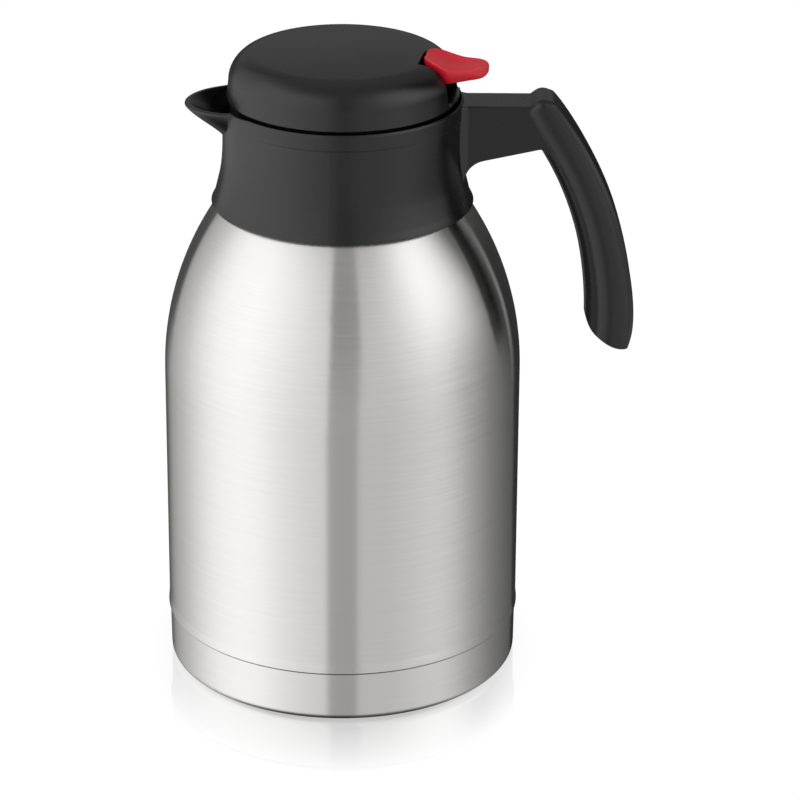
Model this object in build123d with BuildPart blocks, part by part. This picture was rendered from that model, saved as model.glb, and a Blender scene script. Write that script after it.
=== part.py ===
from build123d import *
import os
from math import acos, asin, cos, degrees, radians, sin, sqrt

# Double-wall steel vacuum jug of the 2 litre class with a screw-in stopper lid.
# Millimetres, +Z up. The origin is the middle of the standing face: the spout
# points to -X, the handle to +X. Radii and heights are those of the finished jug.

os.makedirs("parts", exist_ok=True)

# ---------------------------------------------------------------- jug body
body_radius = 75.1
shoulder_start = 131.5        # where the straight wall turns into the shoulder
shoulder_radius = 129.3
shell_gauge = 0.6
flask_gauge = 0.5
vacuum_gap = 8.4
hem_height = 22.4             # lower edge of the shell's flared hem
hem_radius = 75.45
hem_flare = 4.6               # height over which the wall flares out to the hem
cup_top = 21.9
cup_top_radius = 74.75
cup_foot_radius = 74.5
cup_edge_radius = 3.4
skirt_radius = 73.8           # shell below its hem, inside the cup
skirt_bottom = 12.0
shell_neck_radius = 43.1
shell_neck_top = 226.0
mouth_radius = 41.0           # bore of the flask mouth and of the collar throat
seat_radius = 36.0            # bore below the sealing step
seat_height = 214.6
lip_top = 227.2
lip_radius = 44.2

# ---------------------------------------------------------------- collar
collar_foot = 205.4
collar_rim = 250.7
rim_radius = 49.9
chamber_floor = 237.6         # floor of the pour chamber round the stopper
chamber_radius = 47.5
throat_bottom = 228.3
throat_wall = 2.4

# ---------------------------------------------------------------- handle
arm_top = 249.5
arm_half_width = 9.3
arm_reach = 80.0
cover_thickness = 1.9

# ---------------------------------------------------------------- lid
lid_rest_turn = -10.0         # the lever stands this far off the handle plane
lid_edge = 251.2
lid_radius = 47.6
lid_wall = 2.1
lid_shoulder_radius = 12.0
crown_radius = 394.0
slot_half_width = 11.1
slot_front = 33.1
slot_corner = 7.0
sill_height = 254.0
sill_lip = 0.7                # the sill stands this proud of the lid's wall
sill_thickness = 1.6
stopper_radius = 37.6
spigot_radius = 34.6
stopper_bottom = 203.5
stopper_deck = 244.0          # underside of the stopper's top flange

# screw: three ridges on the stopper under three ridges in the throat
screw_lead = 24.0
screw_starts = 3
ridge_arc = 70.0              # degrees covered by one ridge
ridge_height = 2.0
ridge_gap = 0.4               # axial play between the ridges when shut
stopper_ridge_crest = 40.5
throat_ridge_crest = 38.4
throat_ridge_base = 230.2     # middle of a throat ridge at its lower end

# lever and valve
pivot_reach = 34.0
pivot_height = 257.5
pin_radius = 1.5
hub_radius = 3.6
stem_radius = 2.5
plug_radius = 13.0
valve_bore = 10.5

side = Plane.XZ
side_reach = 20               # side outlines are cut this far to each side
lid_angle = radians(lid_rest_turn)
lid_forward = (cos(lid_angle), sin(lid_angle), 0)
lid_side = Plane(origin=(0, 0, 0), x_dir=lid_forward, z_dir=(sin(lid_angle), -cos(lid_angle), 0))
lid_plan = Plane(origin=(0, 0, 0), x_dir=lid_forward, z_dir=(0, 0, 1))
shoulder_centre = (body_radius - shoulder_radius, shoulder_start)


def lid_axis(point):
    """Distance of a point along the lever's direction."""
    return Vector(point).dot(Vector(*lid_forward))


def shoulder_angle(offset, radius):
    """Angle where the shoulder arc, moved in by offset, has come in to radius."""
    return degrees(acos((radius - shoulder_centre[0]) / (shoulder_radius - offset)))


# ================================================================ steel body
with BuildPart() as outer_shell:
    turn = shoulder_angle(0, shell_neck_radius)
    inner_turn = shoulder_angle(shell_gauge, shell_neck_radius - shell_gauge)
    with BuildSketch(side):
        with BuildLine():
            Polyline((skirt_radius, skirt_bottom), (skirt_radius, hem_height),
                     (hem_radius - 0.3, hem_height), (hem_radius, hem_height + 0.4))
            Spline((hem_radius, hem_height + 0.4), (body_radius, hem_height + hem_flare),
                   tangents=((0, 1), (0, 1)))
            Line((body_radius, hem_height + hem_flare), (body_radius, shoulder_start))
            outer_arc = CenterArc(shoulder_centre, shoulder_radius, 0, turn)
            Line(outer_arc @ 1, (shell_neck_radius, shell_neck_top))
            Line((shell_neck_radius, shell_neck_top), (shell_neck_radius - shell_gauge, shell_neck_top))
            inner_arc = CenterArc(shoulder_centre, shoulder_radius - shell_gauge, 0, inner_turn)
            Line((shell_neck_radius - shell_gauge, shell_neck_top), inner_arc @ 1)
            Polyline(inner_arc @ 0, (body_radius - shell_gauge, hem_height + shell_gauge),
                     (skirt_radius - shell_gauge, hem_height + shell_gauge),
                     (skirt_radius - shell_gauge, skirt_bottom), (skirt_radius, skirt_bottom))
        make_face()
    revolve(axis=Axis.Z)
outer_shell.part.label = "outer_shell"
export_step(outer_shell.part, "parts/outer_shell.step")

flask_offset = shell_gauge + vacuum_gap
flask_bottom = 24.0
flask_corner = 18.0
with BuildPart() as inner_flask:
    turn = shoulder_angle(flask_offset, seat_radius + flask_gauge)
    inner_turn = shoulder_angle(flask_offset + flask_gauge, seat_radius)
    flask_radius = body_radius - flask_offset
    bore_radius = flask_radius - flask_gauge
    with BuildSketch(side):
        with BuildLine():
            Line((0, flask_bottom), (flask_radius - flask_corner, flask_bottom))
            CenterArc((flask_radius - flask_corner, flask_bottom + flask_corner), flask_corner, -90, 90)
            Line((flask_radius, flask_bottom + flask_corner), (flask_radius, shoulder_start))
            outer_arc = CenterArc(shoulder_centre, shoulder_radius - flask_offset, 0, turn)
            Polyline(outer_arc @ 1, (seat_radius + flask_gauge, seat_height - flask_gauge),
                     (mouth_radius + flask_gauge, seat_height - flask_gauge),
                     (mouth_radius + flask_gauge, shell_neck_top),
                     (lip_radius, shell_neck_top), (lip_radius, lip_top), (mouth_radius, lip_top),
                     (mouth_radius, seat_height), (seat_radius, seat_height))
            inner_arc = CenterArc(shoulder_centre, shoulder_radius - flask_offset - flask_gauge,
                                  0, inner_turn)
            Line((seat_radius, seat_height), inner_arc @ 1)
            Line((bore_radius, shoulder_start), (bore_radius, flask_bottom + flask_corner))
            CenterArc((flask_radius - flask_corner, flask_bottom + flask_corner),
                      flask_corner - flask_gauge, -90, 90)
            Polyline((flask_radius - flask_corner, flask_bottom + flask_gauge),
                     (0, flask_bottom + flask_gauge), (0, flask_bottom))
        make_face()
    revolve(axis=Axis.Z)
inner_flask.part.label = "inner_flask"
export_step(inner_flask.part, "parts/inner_flask.step")

# Pressed disc that shuts the vacuum space, with its getter above and its seal below
disc_gauge = 0.8
disc_height = 16.0
disc_flat = 60.0
with BuildPart() as vacuum_base:
    rim = skirt_radius - shell_gauge
    with BuildSketch(side):
        with BuildLine():
            Polyline((0, disc_height), (disc_flat, disc_height), (disc_flat + 4, skirt_bottom),
                     (rim, skirt_bottom), (rim, disc_height), (rim - disc_gauge, disc_height),
                     (rim - disc_gauge, skirt_bottom + disc_gauge),
                     (disc_flat + 4.3, skirt_bottom + disc_gauge),
                     (disc_flat + 0.3, disc_height + disc_gauge), (0, disc_height + disc_gauge),
                     (0, disc_height))
        make_face()
    revolve(axis=Axis.Z)
vacuum_base.part.label = "vacuum_base"
export_step(vacuum_base.part, "parts/vacuum_base.step")

with BuildPart() as getter:
    with BuildSketch(Plane.XY.offset(disc_height + disc_gauge)):
        with Locations((34, 0)):
            Circle(7)
            Circle(3.2, mode=Mode.SUBTRACT)
    extrude(amount=2.6)
getter.part.label = "getter"
export_step(getter.part, "parts/getter.step")

with BuildPart() as vacuum_seal:
    with BuildSketch(side):
        with BuildLine():
            bead = CenterArc((0, disc_height), 3.4, -90, 90)
            Polyline(bead @ 1, (0, disc_height), bead @ 0)
        make_face()
    revolve(axis=Axis.Z)
vacuum_seal.part.label = "vacuum_seal"
export_step(vacuum_seal.part, "parts/vacuum_seal.step")

# Outer cup of the base: rolled foot ring, raised middle
foot_inner = 60.0
recess_height = 3.0
with BuildPart() as base_cup:
    with BuildSketch(side):
        with BuildLine():
            Polyline((0, recess_height), (foot_inner - 4, recess_height), (foot_inner, 0),
                     (cup_foot_radius - cup_edge_radius, 0))
            CenterArc((cup_foot_radius - cup_edge_radius, cup_edge_radius), cup_edge_radius, -90, 90)
            Polyline((cup_foot_radius, cup_edge_radius), (cup_top_radius, cup_top),
                     (cup_top_radius - shell_gauge, cup_top),
                     (cup_foot_radius - shell_gauge, cup_edge_radius))
            CenterArc((cup_foot_radius - cup_edge_radius, cup_edge_radius),
                      cup_edge_radius - shell_gauge, -90, 90)
            Polyline((cup_foot_radius - cup_edge_radius, shell_gauge), (foot_inner + 0.3, shell_gauge),
                     (foot_inner - 3.7, recess_height + shell_gauge), (0, recess_height + shell_gauge),
                     (0, recess_height))
        make_face()
    revolve(axis=Axis.Z)
base_cup.part.label = "base_cup"
export_step(base_cup.part, "parts/base_cup.step")

# ================================================================ collar
# Grip stations from the top down: inner point and outer point in the handle's own
# plane, greatest half width, half width of the flat back.
grip_stations = (
    ((68.0, 253.6), (80.4, 261.8), 10.2, 9.4),
    ((74.6, 242.2), (87.5, 249.9), 10.5, 9.3),
    ((81.0, 230.5), (95.5, 238.9), 10.6, 8.7),
    ((87.8, 218.1), (103.3, 225.5), 10.6, 8.0),
    ((94.1, 202.9), (111.2, 208.4), 10.7, 7.5),
    ((98.3, 187.6), (116.9, 190.2), 10.7, 7.1),
    ((100.7, 171.6), (120.5, 173.2), 10.6, 7.0),
    ((101.5, 156.6), (122.1, 156.6), 10.0, 6.8),
    ((101.4, 148.0), (121.6, 148.0), 9.2, 6.4),
    ((101.2, 139.2), (118.9, 138.4), 7.8, 5.6),
)


def grip_plane(inner, outer):
    """Plane across the grip: its X runs from the finger side to the back."""
    run = Vector(outer[0] - inner[0], 0, outer[1] - inner[1])
    return Plane(origin=(inner[0], 0, inner[1]), x_dir=run, z_dir=run.cross(Vector(0, 1, 0)))


def grip_loft():
    """Full outer form of the grip, longer at both ends than the finished grip."""
    with BuildPart() as form:
        for inner, outer, half, back in grip_stations:
            depth = sqrt((outer[0] - inner[0]) ** 2 + (outer[1] - inner[1]) ** 2)
            with BuildSketch(grip_plane(inner, outer)):
                with BuildLine():
                    Spline((depth, back), (0.66 * depth, half), (0.22 * depth, 0.84 * half), (0, 0),
                           (0.22 * depth, -0.84 * half), (0.66 * depth, -half), (depth, -back))
                    Line((depth, -back), (depth, back))
                make_face()
        loft()
    return form.part


def along_grip(start, outer_share, inset):
    """Points along the grip, one per station, inset from the back or the finger side."""
    points = []
    for inner, outer, _, _ in grip_stations[start:]:
        run = Vector(outer[0] - inner[0], outer[1] - inner[1])
        foot = Vector(*(outer if outer_share else inner))
        points.append(foot + run.normalized() * (-inset if outer_share else inset))
    return points


# Side outline that ends the grip: slanted top with its hump, rounded tapering tip
hump_start = (58.0, 236.2)
hump = (81.6, 252.8)
hump_back = (150.0, 232.3)     # the crest falls towards this point, well behind the grip
hump_round = 3.0              # along the edges of the hump
crest_round = 5.0             # across the hump
tip = (119.9, 141.6)
with BuildPart() as grip_trim:
    with BuildSketch(side) as trim_side:
        with BuildLine():
            Polyline((90.0, 200.0), hump_start, hump, hump_back, (hump_back[0], tip[1]), tip)
            heel = Spline(tip, (116.3, 142.0), (112.0, 144.0), (107.5, 147.3), (103.7, 151.4),
                          (101.7, 156.5), (100.8, 163.0), tangents=((-1, -0.15), (-0.1, 1)))
            Line(heel @ 1, (90.0, 200.0))
        make_face()
        fillet(trim_side.vertices().sort_by_distance(hump)[0], radius=crest_round)
    extrude(amount=side_reach, both=True)

with BuildPart() as grip_form:
    add(grip_loft())
    add(grip_trim.part, mode=Mode.INTERSECT)
    top_edges = grip_form.edges().filter_by(GeomType.BSPLINE)
    fillet(top_edges.filter_by(lambda e: (e @ 0.5).Z > 245), radius=hump_round)

# Everything behind the parting line belongs to the cover
with BuildPart() as cover_zone:
    with BuildSketch(side):
        with BuildLine():
            parting = Spline(*along_grip(0, True, cover_thickness))
            Polyline(parting @ 1, (150, 120), (150, 270), parting @ 0)
        make_face()
    extrude(amount=side_reach, both=True)

with BuildPart() as grip_cover:
    add(grip_form.part)
    add(cover_zone.part, mode=Mode.INTERSECT)
grip_cover.part.label = "grip_cover"
export_step(grip_cover.part, "parts/grip_cover.step")


def spout_outline(reach, half_width):
    """Beak outline in plan, round at the tip, open side closed across the collar."""
    run = reach - spout_root
    with BuildLine() as outline:
        beak = Spline((-spout_root, half_width), (-spout_root - 0.42 * run, 0.87 * half_width),
                      (-reach + 0.21 * run, 0.6 * half_width), (-reach, 0),
                      (-reach + 0.21 * run, -0.6 * half_width),
                      (-spout_root - 0.42 * run, -0.87 * half_width), (-spout_root, -half_width))
        Line(beak @ 1, beak @ 0)
    return outline.line


# Beak of the spout, from its foot up: height, reach and half width of each section
spout_root = 36.0
spout_sections = ((234.6, 48.7, 19.0), (245.1, 62.5, 21.6), (248.6, 65.8, 22.5), (252.0, 66.8, 22.7))
trough_sections = ((237.6, 49.4, 18.0), (246.3, 60.2, 19.9), (252.0, 67.0, 21.6))
spout_lip = ((-30.0, 250.7), (-37.0, 250.7), (-48.0, 248.9), (-70.0, 248.3))
lip_round = 0.8
collar_profile = ((54.45, 206.2), (53.4, 208.2), (52.2, 212.4), (50.75, 218.5), (49.8, 226.0),
                  (49.5, 236.0), (49.7, 244.0), (rim_radius, collar_rim - 0.9))
collar_wall = 2.4

with BuildPart() as spout_trough:
    for height, reach, half_width in trough_sections:
        with BuildSketch(Plane.XY.offset(height)):
            add(spout_outline(reach, half_width))
            make_face()
    loft()

with BuildPart() as lip_cut:
    with BuildSketch(side) as lip_side:
        with BuildLine():
            Polyline(*spout_lip, (-70, 256), (-30, 256), spout_lip[0])
        make_face()
        fillet(lip_side.vertices().sort_by_distance(spout_lip[2])[0], radius=20)
    extrude(amount=32, both=True)

with BuildPart() as spout_form:
    for height, reach, half_width in spout_sections:
        with BuildSketch(Plane.XY.offset(height)):
            add(spout_outline(reach, half_width))
            make_face()
    loft()
    add(lip_cut.part, mode=Mode.SUBTRACT)
    lip_edges = spout_form.edges().filter_by(GeomType.BSPLINE)
    fillet(lip_edges.filter_by(lambda e: (e @ 0.5).X < -spout_root and (e @ 0.5).Z > spout_lip[3][1]),
           radius=lip_round)
    add(spout_trough.part, mode=Mode.SUBTRACT)

# Arm: side outline crossed with a plan outline that flares where it meets the collar
arm_root = 40.0
arm_corner = (82.6, 231.4)      # where the arm's underside meets the finger side of the grip
arm_foot = (49.8, 224.2)
flare_start = 48.0
flare_end = 51.2
flare_half_width = 11.6
with BuildPart() as arm_form:
    with BuildSketch(side) as arm_side:
        with BuildLine():
            Polyline((arm_root, arm_top), (arm_reach, arm_top), (92.0, 233.0), (91.5, 221.7), arm_corner,
                     arm_foot, (50.4, 213.5), (arm_root, 213.5), (arm_root, arm_top))
        make_face()
        fillet(arm_side.vertices().sort_by_distance(arm_foot)[0], radius=10.0)
        fillet(arm_side.vertices().sort_by_distance(arm_corner)[0], radius=3.4)
    extrude(amount=side_reach, both=True)
    with BuildSketch(Plane.XY) as arm_plan:
        with BuildLine():
            Polyline((arm_root, -flare_half_width), (flare_start, -flare_half_width),
                     (flare_end, -arm_half_width), (90, -arm_half_width), (90, arm_half_width),
                     (flare_end, arm_half_width), (flare_start, flare_half_width),
                     (arm_root, flare_half_width), (arm_root, -flare_half_width))
        make_face()
        fillet(arm_plan.vertices().filter_by(lambda v: abs(v.X - flare_end) < 0.1), radius=2.6)
    extrude(amount=300, mode=Mode.INTERSECT)
    arm_edges = arm_form.edges().filter_by(Plane.XY).group_by(Axis.Z)[-1]
    fillet(arm_edges.filter_by(Axis.X), radius=0.8)

# Hollow of the grip behind its cover
hollow_half_width = 6.0
with BuildPart() as grip_hollow:
    with BuildSketch(side):
        with BuildLine():
            back_line = Spline(*along_grip(2, True, cover_thickness - 0.01)[:6])
            front_line = Spline(*along_grip(2, False, 5.0)[:6])
            Line(back_line @ 0, front_line @ 0)
            Line(back_line @ 1, front_line @ 1)
        make_face()
    extrude(amount=hollow_half_width, both=True)


def screw_ridge(angle, base, root, crest):
    """One ridge of the lid's screw, on the helix that starts at the angle given."""
    radial = (cos(radians(angle)), sin(radians(angle)), 0)
    with BuildPart() as ridge:
        with BuildLine(Plane(origin=(0, 0, base), x_dir=radial, z_dir=(0, 0, 1))) as path:
            Helix(pitch=screw_lead, height=screw_lead * ridge_arc / 360, radius=root)
        run = path.line
        with BuildSketch(Plane(origin=run @ 0, x_dir=radial, z_dir=run % 0)):
            with BuildLine():
                out = crest - root
                half = ridge_height / 2
                Polyline((0, -half), (out, -half * 0.6), (out, half * 0.6), (0, half), (0, -half))
            make_face()
        sweep(is_frenet=True)
    return ridge.part


with BuildPart() as collar:
    # bell, solid at first
    with BuildSketch(side):
        with BuildLine():
            Polyline((0, collar_foot), (53.8, collar_foot), collar_profile[0])
            flare = Spline(*collar_profile, tangents=((-0.45, 1), (0, 1)))
            Polyline(flare @ 1, (rim_radius - 0.5, collar_rim), (0, collar_rim), (0, collar_foot))
        make_face()
    revolve(axis=Axis.Z)
    add(lip_cut.part, mode=Mode.SUBTRACT)
    add(spout_form.part)
    add(arm_form.part)
    add(grip_form.part)
    add(cover_zone.part, mode=Mode.SUBTRACT)
    add(grip_hollow.part, mode=Mode.SUBTRACT)
    # inside: skirt over the shoulder, threaded throat, pour chamber
    with BuildSketch(side):
        with BuildLine():
            skirt = Spline(*[(r - collar_wall, z) for r, z in collar_profile[1:5]])
            Polyline((0, collar_foot), (collar_profile[0][0] - collar_wall, collar_foot), skirt @ 0)
            Polyline(skirt @ 1, (collar_profile[5][0] - collar_wall, chamber_floor - collar_wall),
                     (mouth_radius + throat_wall, chamber_floor - collar_wall),
                     (mouth_radius + throat_wall, throat_bottom), (mouth_radius, throat_bottom),
                     (mouth_radius, chamber_floor), (chamber_radius, chamber_floor),
                     (chamber_radius + 0.3, collar_rim - 4), (rim_radius - 0.8, collar_rim),
                     (0, collar_rim), (0, collar_foot))
        make_face()
    revolve(axis=Axis.Z, mode=Mode.SUBTRACT)
    add(spout_trough.part, mode=Mode.SUBTRACT)
    for start in range(screw_starts):
        add(screw_ridge(start * 120, throat_ridge_base, mouth_radius + 0.2, throat_ridge_crest))
collar.part.label = "collar"
export_step(collar.part, "parts/collar.step")

# Ring that grips under the flask's lip and pulls the collar down on the gasket
ring_bottom = 218.0
ring_top = 225.9
with BuildPart() as neck_ring:
    with BuildSketch(side):
        with BuildLine():
            bore = shell_neck_radius + 0.2
            Polyline((bore, ring_bottom), (47.8, ring_bottom), (47.6, ring_bottom + 2.2),
                     (46.4, ring_bottom + 2.2), (46.4, ring_top), (bore, ring_top), (bore, ring_bottom))
        make_face()
    revolve(axis=Axis.Z)
    with PolarLocations(46.4, 12):
        with Locations((0, 0, ring_bottom + 5)):
            Box(1.6, 3.0, 5.6)
neck_ring.part.label = "neck_ring"
export_step(neck_ring.part, "parts/neck_ring.step")

with BuildPart() as neck_gasket:
    with BuildSketch(Plane.XY.offset(lip_top)):
        Circle(lip_radius - 0.3)
        Circle(mouth_radius + 0.3, mode=Mode.SUBTRACT)
    extrude(amount=throat_bottom - lip_top)
neck_gasket.part.label = "neck_gasket"
export_step(neck_gasket.part, "parts/neck_gasket.step")

# ================================================================ lid
lid_wall_top = (46.84, 257.95)
corner_centre = (lid_wall_top[0] - lid_shoulder_radius, lid_wall_top[1])
crown_lean = asin(corner_centre[0] / (crown_radius - lid_shoulder_radius))
crown_centre = (0, corner_centre[1] - (crown_radius - lid_shoulder_radius) * cos(crown_lean))
crown_tilt = degrees(crown_lean)
dome_skirt_bottom = 242.5
dome_skirt_radius = 46.4


def dome_arcs(inset):
    """Shoulder arc and crown arc of the lid, moved in by inset."""
    shoulder = CenterArc(corner_centre, lid_shoulder_radius - inset, 0, 90 - crown_tilt)
    crown = CenterArc(crown_centre, crown_radius - inset, 90 - crown_tilt, crown_tilt)
    return shoulder, crown


with BuildPart() as lid_dome:
    with BuildSketch(lid_side):
        with BuildLine():
            inner_wall = lid_wall_top[0] - lid_wall
            Polyline((inner_wall, lid_wall_top[1]), (inner_wall, dome_skirt_bottom),
                     (dome_skirt_radius, dome_skirt_bottom), (dome_skirt_radius, lid_edge),
                     (lid_radius - 0.3, lid_edge), (lid_radius, lid_edge + 0.3), lid_wall_top)
            outer_shoulder, outer_crown = dome_arcs(0)
            inner_shoulder, inner_crown = dome_arcs(lid_wall)
            Line(outer_crown @ 1, inner_crown @ 1)
        make_face()
    revolve(axis=Axis.Z)
    # slot for the lever, open at the side above its sill, which has a small lip
    with BuildSketch(lid_plan.offset(sill_height)) as slot_plan:
        with Locations((slot_front + 20, 0)):
            Rectangle(40, 2 * slot_half_width)
        fillet(slot_plan.vertices().group_by(lid_axis)[0], radius=slot_corner)
    extrude(amount=30, mode=Mode.SUBTRACT)
    with BuildSketch(lid_plan.offset(sill_height - sill_thickness)):
        Circle(lid_radius + sill_lip)
        Circle(lid_radius - lid_wall, mode=Mode.SUBTRACT)
        with Locations((lid_radius, 0)):
            Rectangle(20, 2 * slot_half_width - 1, mode=Mode.INTERSECT)
    extrude(amount=sill_thickness)
lid_dome.part.label = "lid_dome"
export_step(lid_dome.part, "parts/lid_dome.step")

# Stopper: spigot with the valve seat, screw ridges, pour window and top flange
stopper_wall = 2.2
floor_thickness = 2.2
seal_top = 218.2
flange_radius = 44.2
flange_thickness = 2.2
seat_ring_top = 206.6
with BuildPart() as stopper_body:
    with BuildSketch(lid_side):
        with BuildLine():
            floor_top = stopper_bottom + floor_thickness
            Polyline((valve_bore, stopper_bottom), (spigot_radius - 1.2, stopper_bottom),
                     (spigot_radius, stopper_bottom + 1.2), (spigot_radius, seal_top + 0.1),
                     (stopper_radius, seal_top + 0.1), (stopper_radius, stopper_deck),
                     (flange_radius, stopper_deck), (flange_radius, stopper_deck + flange_thickness),
                     (stopper_radius - stopper_wall, stopper_deck + flange_thickness),
                     (stopper_radius - stopper_wall, seal_top + 2.3),
                     (spigot_radius - stopper_wall, seal_top + 2.3),
                     (spigot_radius - stopper_wall, floor_top), (valve_bore + 1.8, floor_top),
                     (valve_bore + 1.3, seat_ring_top), (valve_bore, seat_ring_top),
                     (valve_bore, stopper_bottom))
        make_face()
    revolve(axis=Axis.Z)
    with BuildSketch(lid_plan.offset(chamber_floor + 0.8)):
        with Locations((-stopper_radius, 0)):
            Rectangle(12, 26)
    extrude(amount=4.8, mode=Mode.SUBTRACT)
    for start in range(screw_starts):
        add(screw_ridge(start * 120, throat_ridge_base - ridge_height - ridge_gap,
                        stopper_radius - 0.2, stopper_ridge_crest))
stopper_body.part.label = "stopper_body"
export_step(stopper_body.part, "parts/stopper_body.step")

with BuildPart() as stopper_seal:
    with BuildSketch(lid_side):
        with BuildLine():
            seal_bottom = seat_height + 0.05
            Polyline((spigot_radius + 0.4, seal_bottom + 0.9), (spigot_radius + 1.2, seal_bottom + 0.9),
                     (seat_radius + 0.3, seal_bottom), (seat_radius + 1.9, seal_bottom),
                     (seat_radius + 2.0, seal_bottom + 1.2), (seat_radius + 1.4, seal_top),
                     (spigot_radius + 0.4, seal_top), (spigot_radius + 0.4, seal_bottom + 0.9))
        make_face()
    revolve(axis=Axis.Z)
stopper_seal.part.label = "stopper_seal"
export_step(stopper_seal.part, "parts/stopper_seal.step")

# Frame over the stopper: stem guide, spring pocket and the two lugs of the lever pin
frame_base = stopper_deck + flange_thickness
frame_thickness = 2.0
guide_radius = 5.6
guide_top = 251.6
guide_bottom = 240.5
running_fit = 0.06
lug_inner = 10.3
lug_outer = 13.0
groove_middle = 249.4
ring_section = 0.9
with BuildPart() as lever_frame:
    with BuildSketch(lid_side):
        with BuildLine():
            stem_bore = stem_radius + running_fit
            frame_top = frame_base + frame_thickness
            Polyline((stem_bore, guide_bottom), (guide_radius, guide_bottom), (guide_radius, frame_base),
                     (9.0, frame_base), (9.0, frame_base - 2.6), (10.4, frame_base - 2.6),
                     (10.4, frame_base), (flange_radius - 0.2, frame_base),
                     (flange_radius - 0.2, frame_top), (guide_radius, frame_top),
                     (guide_radius, guide_top), (stem_bore, guide_top),
                     (stem_bore, groove_middle + ring_section),
                     (stem_bore + 1.9, groove_middle + ring_section),
                     (stem_bore + 1.9, groove_middle - ring_section),
                     (stem_bore, groove_middle - ring_section),
                     (stem_bore, guide_bottom))
        make_face()
    revolve(axis=Axis.Z)
    for sense in (1, -1):
        with BuildSketch(lid_side.offset(sense * lug_inner)):
            with BuildLine():
                crest = CenterArc((pivot_reach, pivot_height), 3.4, 0, 180)
                Polyline(crest @ 0, (pivot_reach + 5.2, frame_top - 0.5),
                         (pivot_reach - 5.2, frame_top - 0.5), crest @ 1)
            make_face()
            with Locations((pivot_reach, pivot_height)):
                Circle(pin_radius, mode=Mode.SUBTRACT)
        extrude(amount=sense * (lug_outer - lug_inner))
lever_frame.part.label = "lever_frame"
export_step(lever_frame.part, "parts/lever_frame.step")

with BuildPart() as lever_pin:
    with BuildSketch(lid_side):
        with Locations((pivot_reach, pivot_height)):
            Circle(pin_radius)
    extrude(amount=lug_outer + 0.6, both=True)
    chamfer(lever_pin.edges().filter_by(GeomType.CIRCLE), length=0.3)
lever_pin.part.label = "lever_pin"
export_step(lever_pin.part, "parts/lever_pin.step")

with BuildPart() as stem_seal:
    with BuildSketch(lid_side):
        with Locations((stem_bore + ring_section, groove_middle)):
            Circle(ring_section - 0.02)
    revolve(axis=Axis.Z)
stem_seal.part.label = "stem_seal"
export_step(stem_seal.part, "parts/stem_seal.step")

# Thumb lever: saddle over the slot, hub on the pin, arm that lifts the stem
lever_outline = ((34.1, 0), (34.6, 4.2), (37.0, 8.0), (40.5, 9.8), (45.0, 10.7), (49.5, 9.9),
                 (54.0, 8.0), (58.2, 4.9), (60.9, 0))
fork_top = 257.0
arm_bottom = 253.8
arm_half = 6.2
head_bottom = 257.6
with BuildPart() as lever_dish:
    # crescent drawn along the saddle line, which hollows the top across its width
    with BuildLine(lid_side):
        saddle = Spline((30, 270.6), (35.0, 270.9), (39.0, 269.8), (43.0, 267.9), (47.0, 266.5),
                        (51.0, 266.7), (57.0, 268.2), (64.0, 269.6))
    with BuildSketch(Plane(origin=saddle @ 0, x_dir=-lid_side.z_dir, z_dir=saddle % 0)):
        with BuildLine():
            bowl = ThreePointArc((-13, 2.1), (0, 0), (13, 2.1))
            Polyline(bowl @ 1, (13, 7.0), (-13, 7.0), bowl @ 0)
        make_face()
    sweep(path=saddle)
with BuildPart() as thumb_lever:
    with BuildSketch(lid_side):
        with BuildLine():
            Polyline((32.6, 272.0), (33.7, 262.0), (pivot_reach, pivot_height))
            Polyline((pivot_reach, pivot_height), (37.2, 256.0), (44.4, 261.6), (47.4, 262.2),
                     (53.0, 263.1), (58.0, 263.6))
            nose = Spline((58.0, 263.6), (60.1, 264.7), (60.9, 267.0), (60.0, 269.0), (57.6, 270.2))
            Polyline(nose @ 1, (57.6, 273.0), (32.6, 273.0), (32.6, 272.0))
        make_face()
    extrude(amount=14, both=True)
    with BuildSketch(lid_plan):
        with BuildLine():
            near_side = Spline(*lever_outline, tangents=((0, 1), (0, -1)))
            far_side = Spline(*[(x, -y) for x, y in lever_outline], tangents=((0, -1), (0, 1)))
        make_face()
    extrude(amount=300, mode=Mode.INTERSECT)
    add(lever_dish.part, mode=Mode.SUBTRACT)
    # hub and arm
    with BuildSketch(lid_side):
        with Locations((pivot_reach, pivot_height)):
            Circle(hub_radius)
    extrude(amount=lug_inner - 0.4, both=True)
    with BuildSketch(lid_side):
        with BuildLine():
            Polyline((-3.6, fork_top), (5.0, fork_top), (pivot_reach, pivot_height + hub_radius),
                     (pivot_reach, pivot_height - hub_radius), (6.0, arm_bottom), (-3.6, arm_bottom),
                     (-3.6, fork_top))
        make_face()
    extrude(amount=arm_half, both=True)
    with BuildSketch(lid_plan.offset(arm_bottom - 2)):
        SlotCenterPoint((-2, 0), (0.4, 0), 2 * stem_radius + 1.2)
        with Locations((-6, 0)):
            Rectangle(9, 2 * stem_radius + 1.2)
    extrude(amount=8, mode=Mode.SUBTRACT)
    with BuildSketch(lid_side):
        with Locations((pivot_reach, pivot_height)):
            Circle(pin_radius + running_fit)
    extrude(amount=side_reach, both=True, mode=Mode.SUBTRACT)
thumb_lever.part.label = "thumb_lever"
export_step(thumb_lever.part, "parts/thumb_lever.step")

# Valve: stem, plug with its seal, retainer and spring
head_radius = 4.8
plug_bottom = 208.6
boss_top = 216.0
with BuildPart() as valve_stem:
    with BuildSketch(lid_side):
        with BuildLine():
            Polyline((0, plug_bottom), (stem_radius, plug_bottom), (stem_radius, head_bottom),
                     (head_radius, head_bottom), (head_radius, head_bottom + 1.6),
                     (head_radius - 0.8, head_bottom + 2.2), (0, head_bottom + 2.2), (0, plug_bottom))
        make_face()
    revolve(axis=Axis.Z)
valve_stem.part.label = "valve_stem"
export_step(valve_stem.part, "parts/valve_stem.step")

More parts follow.
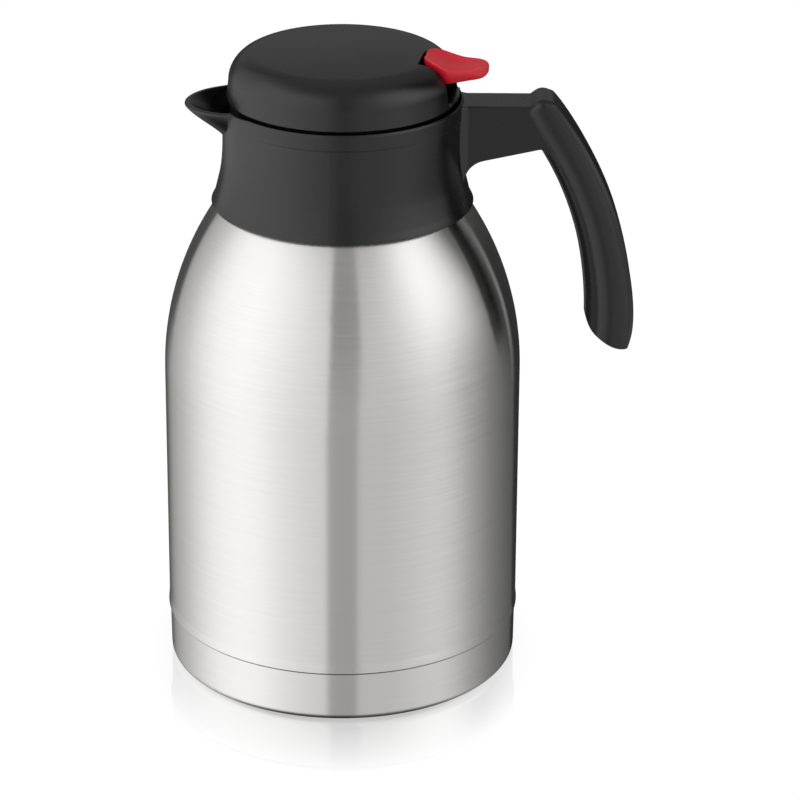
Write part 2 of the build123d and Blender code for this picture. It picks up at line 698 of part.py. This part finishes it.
with BuildPart() as valve_plug:
    with BuildSketch(lid_side):
        with BuildLine():
            Polyline((stem_radius, plug_bottom), (plug_radius, plug_bottom), (plug_radius, 211.4),
                     (plug_radius - 1, 212.4), (5.4, 213.0), (5.0, boss_top), (stem_radius, boss_top),
                     (stem_radius, plug_bottom))
        make_face()
    revolve(axis=Axis.Z)
valve_plug.part.label = "valve_plug"
export_step(valve_plug.part, "parts/valve_plug.step")

with BuildPart() as valve_seal:
    with BuildSketch(lid_plan.offset(seat_ring_top + 0.05)):
        Circle(plug_radius)
        Circle(8.6, mode=Mode.SUBTRACT)
    extrude(amount=plug_bottom - seat_ring_top - 0.05)
valve_seal.part.label = "valve_seal"
export_step(valve_seal.part, "parts/valve_seal.step")

retainer_thickness = 1.2
spring_radius = 7.3
spring_wire = 0.6
spring_turns = 7.5
with BuildPart() as spring_retainer:
    with BuildSketch(lid_plan.offset(boss_top)):
        Circle(9.2)
        Circle(stem_radius, mode=Mode.SUBTRACT)
    extrude(amount=retainer_thickness)
spring_retainer.part.label = "spring_retainer"
export_step(spring_retainer.part, "parts/spring_retainer.step")

with BuildPart() as valve_spring:
    spring_base = boss_top + retainer_thickness + spring_wire
    spring_length = frame_base - spring_wire - spring_base
    with BuildLine(lid_plan.offset(spring_base)):
        coil = Helix(pitch=spring_length / spring_turns, height=spring_length, radius=spring_radius)
    with BuildSketch(Plane(origin=coil @ 0, x_dir=lid_forward, z_dir=coil % 0)):
        Circle(spring_wire)
    sweep(is_frenet=True)
valve_spring.part.label = "valve_spring"
export_step(valve_spring.part, "parts/valve_spring.step")
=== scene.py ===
from math import pi, radians

import bmesh
import bpy
from bpy.props import FloatProperty, FloatVectorProperty, PointerProperty
from bpy.types import Operator, Panel, PropertyGroup
from mathutils import Matrix


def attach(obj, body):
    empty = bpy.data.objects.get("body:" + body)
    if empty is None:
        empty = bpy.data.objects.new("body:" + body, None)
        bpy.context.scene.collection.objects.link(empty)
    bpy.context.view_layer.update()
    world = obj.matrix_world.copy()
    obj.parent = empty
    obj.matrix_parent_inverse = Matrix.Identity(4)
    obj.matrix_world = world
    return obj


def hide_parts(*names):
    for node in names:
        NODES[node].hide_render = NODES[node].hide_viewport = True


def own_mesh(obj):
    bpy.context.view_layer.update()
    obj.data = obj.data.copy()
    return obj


bl_info = {
    "name": "Vacuum jug",
    "version": (1, 0, 0),
    "blender": (4, 5, 0),
    "location": "View3D > Sidebar > Jug",
    "description": "Finishes, fittings and studio of a steel vacuum jug with a stopper lid",
    "category": "Object",
}

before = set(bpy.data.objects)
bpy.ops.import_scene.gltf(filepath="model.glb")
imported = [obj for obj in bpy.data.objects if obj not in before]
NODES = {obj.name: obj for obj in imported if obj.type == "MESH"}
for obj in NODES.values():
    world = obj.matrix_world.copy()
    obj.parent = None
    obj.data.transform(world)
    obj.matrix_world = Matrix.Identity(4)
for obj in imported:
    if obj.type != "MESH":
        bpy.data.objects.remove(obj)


# ---------------------------------------------------------------- settings
class JugFinish(PropertyGroup):
    """Colours and surface of the jug's materials."""

    steel: FloatVectorProperty(
        name="Steel", description="Colour that the brushed steel reflects",
        subtype="COLOR", size=4, default=(0.62, 0.613, 0.603, 1.0))
    plastic: FloatVectorProperty(
        name="Black plastic", description="Colour of the collar, handle and lid",
        subtype="COLOR", size=4, default=(0.0018, 0.0018, 0.0019, 1.0))
    lever: FloatVectorProperty(
        name="Red plastic", description="Colour of the thumb lever",
        subtype="COLOR", size=4, default=(0.68, 0.012, 0.028, 1.0))
    silicone: FloatVectorProperty(
        name="Silicone", description="Colour of the seals and gaskets",
        subtype="COLOR", size=4, default=(0.72, 0.72, 0.70, 1.0))
    brushing_pitch: FloatProperty(
        name="Brushing pitch", description="Distance from one brush line to the next",
        default=0.00045, unit="LENGTH")
    brushing_length: FloatProperty(
        name="Brushing length", description="Length of a brush line",
        default=0.02, unit="LENGTH")
    grain_size: FloatProperty(
        name="Grain size", description="Size of the fine grain moulded into the plastic",
        default=0.0004, unit="LENGTH")


class JugStudio(PropertyGroup):
    """Camera and floor."""

    camera_place: FloatVectorProperty(
        name="Camera place", description="Where the camera stands",
        subtype="TRANSLATION", size=3, default=(0.02443, -1.421, 0.732))
    camera_tilt: FloatProperty(
        name="Camera tilt", description="How far the camera looks down",
        default=radians(23.48), unit="ROTATION")
    camera_roll: FloatProperty(
        name="Camera roll", description="How far the camera is turned about its view",
        default=0.0063, unit="ROTATION")
    lens: FloatProperty(
        name="Lens", description="Focal length on a sensor 36 mm wide",
        default=163.8, unit="CAMERA")
    floor_reach: FloatProperty(
        name="Floor reach", description="Half the width of the floor",
        default=6.0, unit="LENGTH")


# ---------------------------------------------------------------- material helpers
STEEL_ROUGHNESS = 0.22
STEEL_SPREAD = 0.14         # how much the roughness varies over the brushing
FINE_SHARE = 0.65           # share of the fine lines in the brushing; the rest is broad bands
BRUSHING_DEPTH = 0.00002
PLASTIC_SPREAD = 0.08       # how much the roughness of plastic varies from cloud to cloud
GRAIN_ROUGHNESS = 0.05      # roughness that the moulded grain adds
GRAIN_DEPTH = 0.000012
SILICONE_DEPTH = 0.00002
EDGE_ROUNDING = 0.0006      # radius over which moulded edges catch the light


def grey(value):
    return (value, value, value, 1.0)


class Shader:
    """A node tree with short ways to add and join its nodes."""

    def __init__(self, tree):
        self.tree = tree
        self.tree.nodes.clear()

    def add(self, kind, **settings):
        node = self.tree.nodes.new(kind)
        for name, value in settings.items():
            setattr(node, name, value)
        return node

    def join(self, source, target):
        self.tree.links.new(source, target)

    def math(self, operation, first, second):
        """A Math node whose inputs are sockets or numbers."""
        node = self.add("ShaderNodeMath", operation=operation)
        for socket, value in zip(node.inputs, (first, second)):
            if isinstance(value, (int, float)):
                socket.default_value = value
            else:
                self.join(value, socket)
        return node.outputs[0]

    def ramp(self, factor, stops):
        """A ColorRamp of grey stops, each (position, value)."""
        node = self.add("ShaderNodeValToRGB")
        elements = node.color_ramp.elements
        while len(elements) < len(stops):
            elements.new(0.5)
        for element, (position, value) in zip(elements, stops):
            element.position = position
            element.color = grey(value)
        self.join(factor, node.inputs["Fac"])
        return node.outputs["Color"]

    def noise(self, scale, detail, seed=0.0):
        """Noise on object coordinates, stretched by a scale for each axis."""
        place = self.add("ShaderNodeTexCoord")
        mapping = self.add("ShaderNodeMapping")
        mapping.inputs["Scale"].default_value = scale
        mapping.inputs["Location"].default_value = (seed, seed, seed)
        noise = self.add("ShaderNodeTexNoise")
        noise.inputs["Scale"].default_value = 1.0
        noise.inputs["Detail"].default_value = detail
        self.join(place.outputs["Object"], mapping.inputs["Vector"])
        self.join(mapping.outputs["Vector"], noise.inputs["Vector"])
        return noise.outputs["Fac"]

    def rise(self, value, start, end):
        """A smooth step from 0 to 1 as the value goes from start to end."""
        step = self.add("ShaderNodeMapRange", interpolation_type="SMOOTHSTEP")
        step.inputs["From Min"].default_value = start
        step.inputs["From Max"].default_value = end
        self.join(value, step.inputs["Value"])
        return step.outputs[0]

    def blend(self, factor, first, second):
        """A mix of two colours, each a socket or four numbers."""
        mix = self.add("ShaderNodeMix", data_type="RGBA")
        self.join(factor, mix.inputs["Factor"])
        for socket, value in ((mix.inputs["A"], first), (mix.inputs["B"], second)):
            if isinstance(value, tuple):
                socket.default_value = value
            else:
                self.join(value, socket)
        return mix.outputs["Result"]

    def bump(self, height, distance, edge=0.0):
        """A bump over the surface, whose sharp edges may be rounded to a radius."""
        node = self.add("ShaderNodeBump")
        if edge:
            rounded = self.add("ShaderNodeBevel", samples=6)
            rounded.inputs["Radius"].default_value = edge
            self.join(rounded.outputs["Normal"], node.inputs["Normal"])
        node.inputs["Distance"].default_value = distance
        self.join(height, node.inputs["Height"])
        return node.outputs["Normal"]

    def surface(self, **values):
        """The Principled shader and its output."""
        shader = self.add("ShaderNodeBsdfPrincipled")
        output = self.add("ShaderNodeOutputMaterial")
        for name, value in values.items():
            shader.inputs[name.replace("_", " ")].default_value = value
        self.join(shader.outputs[0], output.inputs["Surface"])
        return shader


def new_material(name):
    """A material and the Shader that fills its empty node tree."""
    material = bpy.data.materials.new(name)
    material.use_nodes = True
    return material, Shader(material.node_tree)


def tinted(shade, colour, factor, low, high):
    """The colour, from low to high times its brightness as a grey factor rises."""
    dark, light = (tuple(min(1.0, c * k) for c in colour[:3]) + (1.0,) for k in (low, high))
    return shade.blend(factor, dark, light)


def brushed_steel(name, finish, seed=0.0):
    """Stainless steel with brush lines that run round the jug's axis."""
    material, shade = new_material(name)
    steel = shade.surface(Metallic=1.0, Anisotropic=0.98, Anisotropic_Rotation=0.25)
    across = 1.0 / finish.brushing_pitch
    along = 1.0 / finish.brushing_length
    fine = shade.noise((along, along, across), 4.0, seed)
    broad = shade.noise((along / 4, along / 4, across / 5), 2.0, seed + 3.0)
    lines = shade.math("ADD", shade.math("MULTIPLY", fine, FINE_SHARE),
                       shade.math("MULTIPLY", broad, 1.0 - FINE_SHARE))
    shade.join(tinted(shade, finish.steel, lines, 0.90, 1.08), steel.inputs["Base Color"])
    rough = shade.math("ADD", shade.math("MULTIPLY", lines, STEEL_SPREAD),
                       STEEL_ROUGHNESS - STEEL_SPREAD / 2)
    shade.join(rough, steel.inputs["Roughness"])
    shade.join(shade.bump(lines, BRUSHING_DEPTH), steel.inputs["Normal"])
    around = shade.add("ShaderNodeTangent", direction_type="RADIAL", axis="Z")
    shade.join(around.outputs["Tangent"], steel.inputs["Tangent"])
    return material


def moulded_plastic(name, colour, finish, roughness, seed=0.0):
    """Moulded plastic with a fine grain and faint cloudy variation."""
    material, shade = new_material(name)
    plastic = shade.surface()
    density = 1.0 / finish.grain_size
    grain = shade.noise((density, density, density), 2.0, seed)
    cloud = shade.noise((22.0, 22.0, 22.0), 3.0, seed + 5.0)
    shade.join(tinted(shade, colour, cloud, 0.86, 1.14), plastic.inputs["Base Color"])
    rough = shade.math("ADD", shade.math("MULTIPLY", cloud, PLASTIC_SPREAD),
                       roughness - PLASTIC_SPREAD / 2)
    rough = shade.math("ADD", rough, shade.math("MULTIPLY", grain, GRAIN_ROUGHNESS))
    shade.join(rough, plastic.inputs["Roughness"])
    shade.join(shade.bump(grain, GRAIN_DEPTH, EDGE_ROUNDING), plastic.inputs["Normal"])
    return material


def bright_metal(name, colour, roughness):
    """Plain bright metal with faint drawing marks."""
    material, shade = new_material(name)
    metal = shade.surface(Metallic=1.0)
    marks = shade.noise((300.0, 300.0, 2500.0), 3.0)
    shade.join(tinted(shade, colour, marks, 0.92, 1.05), metal.inputs["Base Color"])
    rough = shade.math("ADD", shade.math("MULTIPLY", marks, 0.1), roughness)
    shade.join(rough, metal.inputs["Roughness"])
    return material


def silicone_rubber(name, colour):
    """Milky silicone that lets a little light in."""
    material, shade = new_material(name)
    rubber = shade.surface(Roughness=0.5, Subsurface_Weight=0.4, Subsurface_Scale=0.004)
    cloud = shade.noise((60.0, 60.0, 60.0), 3.0)
    shade.join(tinted(shade, colour, cloud, 0.93, 1.05), rubber.inputs["Base Color"])
    shade.join(shade.bump(cloud, SILICONE_DEPTH), rubber.inputs["Normal"])
    return material


def dress(node, material):
    """Gives a node its material."""
    slots = NODES[node].data.materials
    slots.clear()
    slots.append(material)


# ---------------------------------------------------------------- mesh helpers
def finished_piece(name, form, material):
    """A smooth-shaded object made from a form, which is used up."""
    bmesh.ops.recalc_face_normals(form, faces=form.faces)
    for face in form.faces:
        face.smooth = True
    mesh = bpy.data.meshes.new(name)
    form.to_mesh(mesh)
    form.free()
    mesh.materials.append(material)
    piece = bpy.data.objects.new(name, mesh)
    bpy.context.scene.collection.objects.link(piece)
    return piece


def add_extruded(form, rings):
    """Adds a closed shape whose end face is extruded from ring to ring."""
    end = form.faces.new([form.verts.new(point) for point in rings[0]])
    for ring in rings[1:]:
        grown = bmesh.ops.extrude_face_region(form, geom=[end])["geom"]
        if ring is not rings[1]:
            form.faces.remove(end)      # only the first face stays, as the cap at the start
        end = next(item for item in grown if isinstance(item, bmesh.types.BMFace))
        for vert, point in zip(end.verts, ring):
            vert.co = point


# The thumb lever's sections from the slot to its tip, in millimetres: distance out from the
# jug's axis, half width, and heights of the rim, the middle of the dish and the underside
LEVER_SECTIONS = (
    (34.3, 3.2, 270.9, 270.4, 262.8),
    (34.9, 5.4, 271.4, 270.6, 261.0),
    (36.6, 7.9, 271.5, 270.3, 259.6),
    (39.4, 9.4, 270.9, 268.9, 259.8),
    (42.6, 10.4, 269.5, 267.2, 260.6),
    (45.6, 10.8, 268.5, 266.3, 261.1),
    (48.8, 10.0, 267.9, 266.0, 261.6),
    (51.8, 8.9, 268.1, 266.5, 262.1),
    (54.4, 7.8, 268.4, 267.1, 262.3),
    (56.8, 6.1, 268.7, 267.8, 262.4),
    (58.8, 4.1, 268.8, 268.2, 262.9),
    (60.2, 2.2, 268.2, 267.9, 264.2),
    (60.7, 1.0, 267.6, 267.4, 265.6))
FULL_RIM = 6.0              # half width from which the rim has its full thickness
LEVER_TURN = radians(-10)   # the lever stands this far off the handle's plane

# The lever's arm and hub, in millimetres: the fork round the valve stem as seen from above, its
# underside and top, and the arm's far end inside the hub
FORK_BACK = 5.0
FORK = ((-3.6, 3.1), (-3.6, 6.2), (FORK_BACK, 6.2), (FORK_BACK, -6.2), (-3.6, -6.2), (-3.6, -3.1),
        (1.6, -3.1), (3.2, -1.6), (3.2, 1.6), (1.6, 3.1))
FORK_HEIGHTS = (253.8, 257.0)
ARM_END = 31.4
ARM_END_HEIGHTS = (254.9, 260.2)
ARM_EDGE = 0.35
LEVER_PIVOT = (34.0, 257.5)     # the pin's distance out and its height
HUB_BORE = 1.56
HUB_RADIUS = 3.6
HUB_REACH = 9.9


def lever_section(out, half, rim, dish, under):
    """A section of the lever's head, from the middle of the dish round to it again."""
    edge = min(1.0, half / FULL_RIM)
    depth = rim - dish
    dish_side = [(0.45 * half, dish + 0.12 * depth), (half - 2.5 * edge, dish + 0.40 * depth)]
    rim_side = [(half - 1.6 * edge, rim - 0.15 * depth), (half - 0.6 * edge, rim),
                (half, rim - 0.9 * edge)]
    wall = [(half - 0.2 * edge, rim - 2.4 * edge), (half - 1.8 * edge, under + 0.6 * edge),
            (half - 3.4 * edge, under)]
    side = dish_side + rim_side + wall
    other = [(-across, height) for across, height in reversed(side)]
    return [(out, across, height) for across, height in [(0, dish), *side, (0, under), *other]]


def add_lever_arm(form):
    """The forked arm that holds the valve stem, and the hub's ring round the pin."""
    add_extruded(form, [[(out, across, height) for out, across in FORK] for height in FORK_HEIGHTS])
    root = next(face for face in form.faces if all(vert.co.x == FORK_BACK for vert in face.verts))
    grown = bmesh.ops.extrude_face_region(form, geom=[root])["geom"]
    end_under, end_top = ARM_END_HEIGHTS
    fork_middle = sum(FORK_HEIGHTS) / 2
    for vert in (item for item in grown if isinstance(item, bmesh.types.BMVert)):
        vert.co = (ARM_END, vert.co.y, end_top if vert.co.z > fork_middle else end_under)
    bmesh.ops.delete(form, geom=[root], context="FACES_ONLY")
    bmesh.ops.bevel(form, geom=form.edges[:], offset=ARM_EDGE, affect="EDGES", segments=2,
                    profile=0.5, material=-1)
    out, height = LEVER_PIVOT
    corners = ((HUB_BORE, -HUB_REACH), (HUB_RADIUS, -HUB_REACH), (HUB_RADIUS, HUB_REACH),
               (HUB_BORE, HUB_REACH))
    wall = [form.verts.new((out, across, height + radius)) for radius, across in corners]
    edges = [form.edges.new(pair) for pair in zip(wall, wall[1:] + wall[:1])]
    bmesh.ops.spin(form, geom=wall + edges, cent=(out, 0, height), axis=(0, 1, 0),
                   angle=2 * pi, steps=32, use_merge=True)


def lever_piece(name, form, material):
    """A part of the thumb lever, turned from its own line to its place in metres."""
    place = Matrix.Rotation(LEVER_TURN, 4, "Z") @ Matrix.Scale(0.001, 4)
    bmesh.ops.transform(form, matrix=place, verts=form.verts)
    piece = finished_piece(name, form, material)
    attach(piece, "lever")
    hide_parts("thumb_lever")
    return piece


# ---------------------------------------------------------------- operators
class JUG_OT_steel_body(Operator):
    """Brush the outer shell and base cup, and finish the flask inside"""

    bl_idname = "jug.steel_body"
    bl_label = "Steel body"

    def execute(self, context):
        finish = context.scene.jug_finish
        dress("outer_shell", brushed_steel("shell_steel", finish))
        dress("base_cup", brushed_steel("cup_steel", finish, seed=7.0))
        polished = bright_metal("polished_steel", finish.steel, 0.16)
        for node in ("inner_flask", "vacuum_base"):
            dress(node, polished)
        dress("getter", bright_metal("getter_metal", (0.35, 0.34, 0.33), 0.55))
        dress("vacuum_seal", moulded_plastic("seal_glass", (0.12, 0.10, 0.08), finish, 0.12))
        return {"FINISHED"}


class JUG_OT_black_plastic(Operator):
    """Finish the collar, handle, lid and the plastic pieces inside the stopper"""

    bl_idname = "jug.black_plastic"
    bl_label = "Black plastic"

    def execute(self, context):
        finish = context.scene.jug_finish
        satin = 0.25
        dull = 0.5
        darker = [c * 0.8 for c in finish.plastic]
        dress("collar", moulded_plastic("collar_plastic", finish.plastic, finish, satin))
        dress("grip_cover", moulded_plastic("strip_plastic", darker, finish, satin, seed=2.0))
        dress("lid_dome", moulded_plastic("lid_plastic", finish.plastic, finish, satin, seed=4.0))
        inner = moulded_plastic("stopper_plastic", darker, finish, dull, seed=6.0)
        for node in ("stopper_body", "valve_plug", "neck_ring", "lever_frame"):
            dress(node, inner)
        return {"FINISHED"}


class JUG_OT_thumb_lever(Operator):
    """Mould the red thumb lever with its dish, rounded rim, hub and forked arm"""

    bl_idname = "jug.thumb_lever"
    bl_label = "Thumb lever"

    def execute(self, context):
        finish = context.scene.jug_finish
        red = moulded_plastic("lever_plastic", finish.lever, finish, 0.30, seed=8.0)
        form = bmesh.new()
        add_extruded(form, [lever_section(*values) for values in LEVER_SECTIONS])
        head = lever_piece("lever_head", form, red)
        smooth = head.modifiers.new("smooth", "SUBSURF")
        smooth.levels = smooth.render_levels = 2
        form = bmesh.new()
        add_lever_arm(form)
        lever_piece("lever_arm", form, red)
        return {"FINISHED"}


class JUG_OT_valve(Operator):
    """Finish the pins and seals, and fit a smooth-shaded copy of the valve spring that moves with the
    stopper
    """

    bl_idname = "jug.valve"
    bl_label = "Valve and seals"

    def execute(self, context):
        finish = context.scene.jug_finish
        pin_steel = bright_metal("pin_steel", finish.steel, 0.2)
        for node in ("lever_pin", "valve_stem", "spring_retainer"):
            dress(node, pin_steel)
        silicone = silicone_rubber("silicone", finish.silicone)
        for node in ("neck_gasket", "stopper_seal", "stem_seal", "valve_seal"):
            dress(node, silicone)

        form = bmesh.new()
        form.from_mesh(NODES["valve_spring"].data)
        bmesh.ops.remove_doubles(form, verts=form.verts, dist=1e-6)
        spring = finished_piece("return_spring", form, bright_metal("spring_steel", finish.steel, 0.24))
        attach(spring, "stopper")
        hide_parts("valve_spring")
        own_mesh(spring)
        return {"FINISHED"}


# How bright the studio is round the jug, by degrees from the camera, to the right:
# below the horizon, where the upright walls look, and above it, where the shoulder looks
LOW_LIGHT = (
    (-180, 0.03), (-157, 0.12), (-148, 0.42), (-122, 0.80), (-107, 1.10), (-97, 1.30), (-86, 1.46),
    (-70, 1.56), (-55, 1.50), (-39, 1.28), (-24, 1.12), (-9.4, 1.02), (-8.5, 0.59), (10, 0.56),
    (11, 0.84), (31, 0.82), (49, 0.93), (57, 0.93), (64, 0.83), (76, 0.53), (89, 0.32), (98, 0.25),
    (116, 0.13), (119, 0.03), (180, 0.03))
HIGH_LIGHT = (
    (-180, 0.30), (-150, 0.30), (-145, 0.15), (-140, 0.55), (-120, 0.86), (-102, 1.36), (-88, 1.58),
    (-62, 1.64), (-42, 1.48), (-28, 1.29), (-7.6, 1.00), (-6.8, 0.40), (12.5, 0.42), (13.8, 0.78),
    (25.5, 0.88), (44, 1.13), (54, 1.34), (71, 1.70), (88, 1.72), (102, 1.43), (114.5, 0.88),
    (118.5, 0.05), (140, 0.03), (150, 0.05), (156, 0.24), (180, 0.28))

# The rest of the studio. A height is the upward part of a direction, from -1 to 1, and each pair
# says where a change starts and where it is complete.
LOW_TO_HIGH = (-0.25, 0.3)
LEAN_START = 0.5            # beyond this turn the right-hand box's far edge closes in with height
RIGHT_LEAN = 0.65
PANEL_EDGE = (radians(-142), radians(-144.5))       # a dark panel at the back, to the left
PANEL_FOOT = (-0.33, -0.27)
PANEL_TOP = (0.16, 0.04)
PANEL_LIGHT = 0.08
STREAK_TURNS = (radians(131.5), radians(134.5), radians(137.5))     # a thin light on the far right
STREAK_FOOT = (-0.38, -0.25)
STREAK_LEAN = 0.36
STREAK_LIGHT = 0.45
FLOOR_EDGE = (-0.9, -0.65)
FLOOR_LIGHT = 0.03
ROOF_EDGE = (0.6, 0.95)
ROOF_LIGHT = 0.5

# How much of its mirror image the floor shows, by metres from the jug's axis
FLOOR_FADE = ((0.0777, 0.476), (0.0907, 0.335), (0.1077, 0.165), (0.118, 0.04), (0.126, 0.0))
FADE_ASPECT = (1.38, 1.0, 1.0)      # the image fades sooner to the sides
FLOOR_GLOW = 1.02
FLOOR_GREY = 0.8
SHADOW_SHARE = 0.12                 # how far the matte floor, with its shadow, shows through it


def studio_world(world):
    """Two large softboxes with a gap between them, dark behind; plain white where it is seen."""
    world.use_nodes = True
    sky = Shader(world.node_tree)
    direction = sky.add("ShaderNodeTexCoord").outputs["Generated"]
    parts = sky.add("ShaderNodeSeparateXYZ")
    sky.join(direction, parts.inputs[0])
    across, along, up = parts.outputs
    turn = sky.math("ARCTAN2", across, sky.math("MULTIPLY", along, -1.0))
    right = sky.math("MAXIMUM", sky.math("SUBTRACT", turn, LEAN_START), 0.0)
    lean = sky.math("MULTIPLY", sky.math("MULTIPLY", up, RIGHT_LEAN), right)
    share = sky.math("ADD", sky.math("MULTIPLY", sky.math("ADD", turn, lean), 0.5 / pi), 0.5)
    low = sky.ramp(share, [((d + 180) / 360, v) for d, v in LOW_LIGHT])
    high = sky.ramp(share, [((d + 180) / 360, v) for d, v in HIGH_LIGHT])
    boxes = sky.blend(sky.rise(up, *LOW_TO_HIGH), low, high)
    panel = sky.math("MULTIPLY", sky.rise(turn, *PANEL_EDGE), sky.rise(up, *PANEL_FOOT))
    panel = sky.math("MULTIPLY", panel, sky.rise(up, *PANEL_TOP))
    boxes = sky.blend(panel, boxes, grey(PANEL_LIGHT))
    edge = sky.math("ADD", turn, sky.math("MULTIPLY", up, STREAK_LEAN))
    start, middle, end = STREAK_TURNS
    streak = sky.math("MULTIPLY", sky.rise(edge, start, middle), sky.rise(edge, end, middle))
    streak = sky.math("MULTIPLY", streak, sky.rise(up, *STREAK_FOOT))
    boxes = sky.blend(streak, boxes, grey(STREAK_LIGHT))
    boxes = sky.blend(sky.rise(up, *FLOOR_EDGE), grey(FLOOR_LIGHT), boxes)
    lit = sky.blend(sky.rise(up, *ROOF_EDGE), boxes, grey(ROOF_LIGHT))
    path = sky.add("ShaderNodeLightPath")
    seen = sky.math("MAXIMUM", path.outputs["Is Camera Ray"], path.outputs["Is Singular Ray"])
    seen = sky.math("MAXIMUM", seen, path.outputs["Is Transmission Ray"])
    light = sky.add("ShaderNodeBackground")
    sky.join(sky.blend(seen, lit, grey(1.0)), light.inputs["Color"])
    output = sky.add("ShaderNodeOutputWorld")
    sky.join(light.outputs[0], output.inputs["Surface"])


def glossy_floor_material():
    """White glossy floor: plain white to the eye, with a reflection that fades away from the jug."""
    material, shade = new_material("white_acrylic")
    place = shade.add("ShaderNodeTexCoord").outputs["Object"]
    narrowed = shade.add("ShaderNodeVectorMath", operation="MULTIPLY")
    narrowed.inputs[1].default_value = FADE_ASPECT
    shade.join(place, narrowed.inputs[0])
    reach = shade.add("ShaderNodeVectorMath", operation="LENGTH")
    shade.join(narrowed.outputs["Vector"], reach.inputs[0])
    fade = shade.ramp(reach.outputs["Value"], FLOOR_FADE)
    white = shade.add("ShaderNodeEmission")
    white.inputs["Strength"].default_value = FLOOR_GLOW
    mirror = shade.add("ShaderNodeBsdfGlossy")
    mirror.inputs["Roughness"].default_value = 0.0
    seen = shade.add("ShaderNodeMixShader")
    shade.join(fade, seen.inputs[0])
    shade.join(white.outputs[0], seen.inputs[1])
    shade.join(mirror.outputs[0], seen.inputs[2])
    matte = shade.add("ShaderNodeBsdfDiffuse")
    matte.inputs["Color"].default_value = grey(FLOOR_GREY)
    shadow = shade.add("ShaderNodeMixShader")
    shade.join(shade.math("MULTIPLY", fade, SHADOW_SHARE), shadow.inputs[0])
    shade.join(seen.outputs[0], shadow.inputs[1])
    shade.join(matte.outputs[0], shadow.inputs[2])
    path = shade.add("ShaderNodeLightPath")
    both = shade.add("ShaderNodeMixShader")
    shade.join(path.outputs["Is Camera Ray"], both.inputs[0])
    shade.join(matte.outputs[0], both.inputs[1])
    shade.join(shadow.outputs[0], both.inputs[2])
    output = shade.add("ShaderNodeOutputMaterial")
    shade.join(both.outputs[0], output.inputs["Surface"])
    return material


class JUG_OT_studio(Operator):
    """Set the camera, the white floor and the light round the jug"""

    bl_idname = "jug.studio"
    bl_label = "Studio"

    def execute(self, context):
        studio = context.scene.jug_studio
        scene = context.scene
        camera = bpy.data.cameras.new("camera")
        camera.lens = studio.lens
        camera.sensor_width = 36.0
        holder = bpy.data.objects.new("camera", camera)
        turn = Matrix.Rotation(pi / 2 - studio.camera_tilt, 4, "X")
        turn = turn @ Matrix.Rotation(studio.camera_roll, 4, "Z")
        holder.matrix_world = Matrix.Translation(studio.camera_place) @ turn
        scene.collection.objects.link(holder)
        scene.camera = holder

        mesh = bpy.data.meshes.new("floor")
        form = bmesh.new()
        bmesh.ops.create_grid(form, x_segments=1, y_segments=1, size=studio.floor_reach)
        form.to_mesh(mesh)
        form.free()
        floor = bpy.data.objects.new("floor", mesh)
        scene.collection.objects.link(floor)
        floor.data.materials.append(glossy_floor_material())
        floor.visible_glossy = False

        scene.world = scene.world or bpy.data.worlds.new("studio")
        studio_world(scene.world)
        scene.view_settings.view_transform = "Standard"
        return {"FINISHED"}


class JUG_PT_panel(Panel):
    """The jug's settings and makers"""

    bl_idname = "JUG_PT_panel"
    bl_label = "Vacuum jug"
    bl_space_type = "VIEW_3D"
    bl_region_type = "UI"
    bl_category = "Jug"

    def draw(self, context):
        layout = self.layout
        for group in (context.scene.jug_finish, context.scene.jug_studio):
            for name in group.bl_rna.properties.keys():
                if name not in {"rna_type", "name"}:
                    layout.prop(group, name)
        for operator in MAKERS:
            layout.operator(operator.bl_idname)


MAKERS = (
    JUG_OT_steel_body,
    JUG_OT_black_plastic,
    JUG_OT_thumb_lever,
    JUG_OT_valve,
    JUG_OT_studio,
)
CLASSES = (JugFinish, JugStudio, *MAKERS, JUG_PT_panel)


def register():
    for cls in CLASSES:
        bpy.utils.register_class(cls)
    bpy.types.Scene.jug_finish = PointerProperty(type=JugFinish)
    bpy.types.Scene.jug_studio = PointerProperty(type=JugStudio)


def unregister():
    del bpy.types.Scene.jug_studio
    del bpy.types.Scene.jug_finish
    for cls in reversed(CLASSES):
        bpy.utils.unregister_class(cls)


def main():
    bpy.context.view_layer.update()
    register()
    for maker in MAKERS:
        group, name = maker.bl_idname.split(".")
        getattr(getattr(bpy.ops, group), name)()


if __name__ == "__main__":
    main()
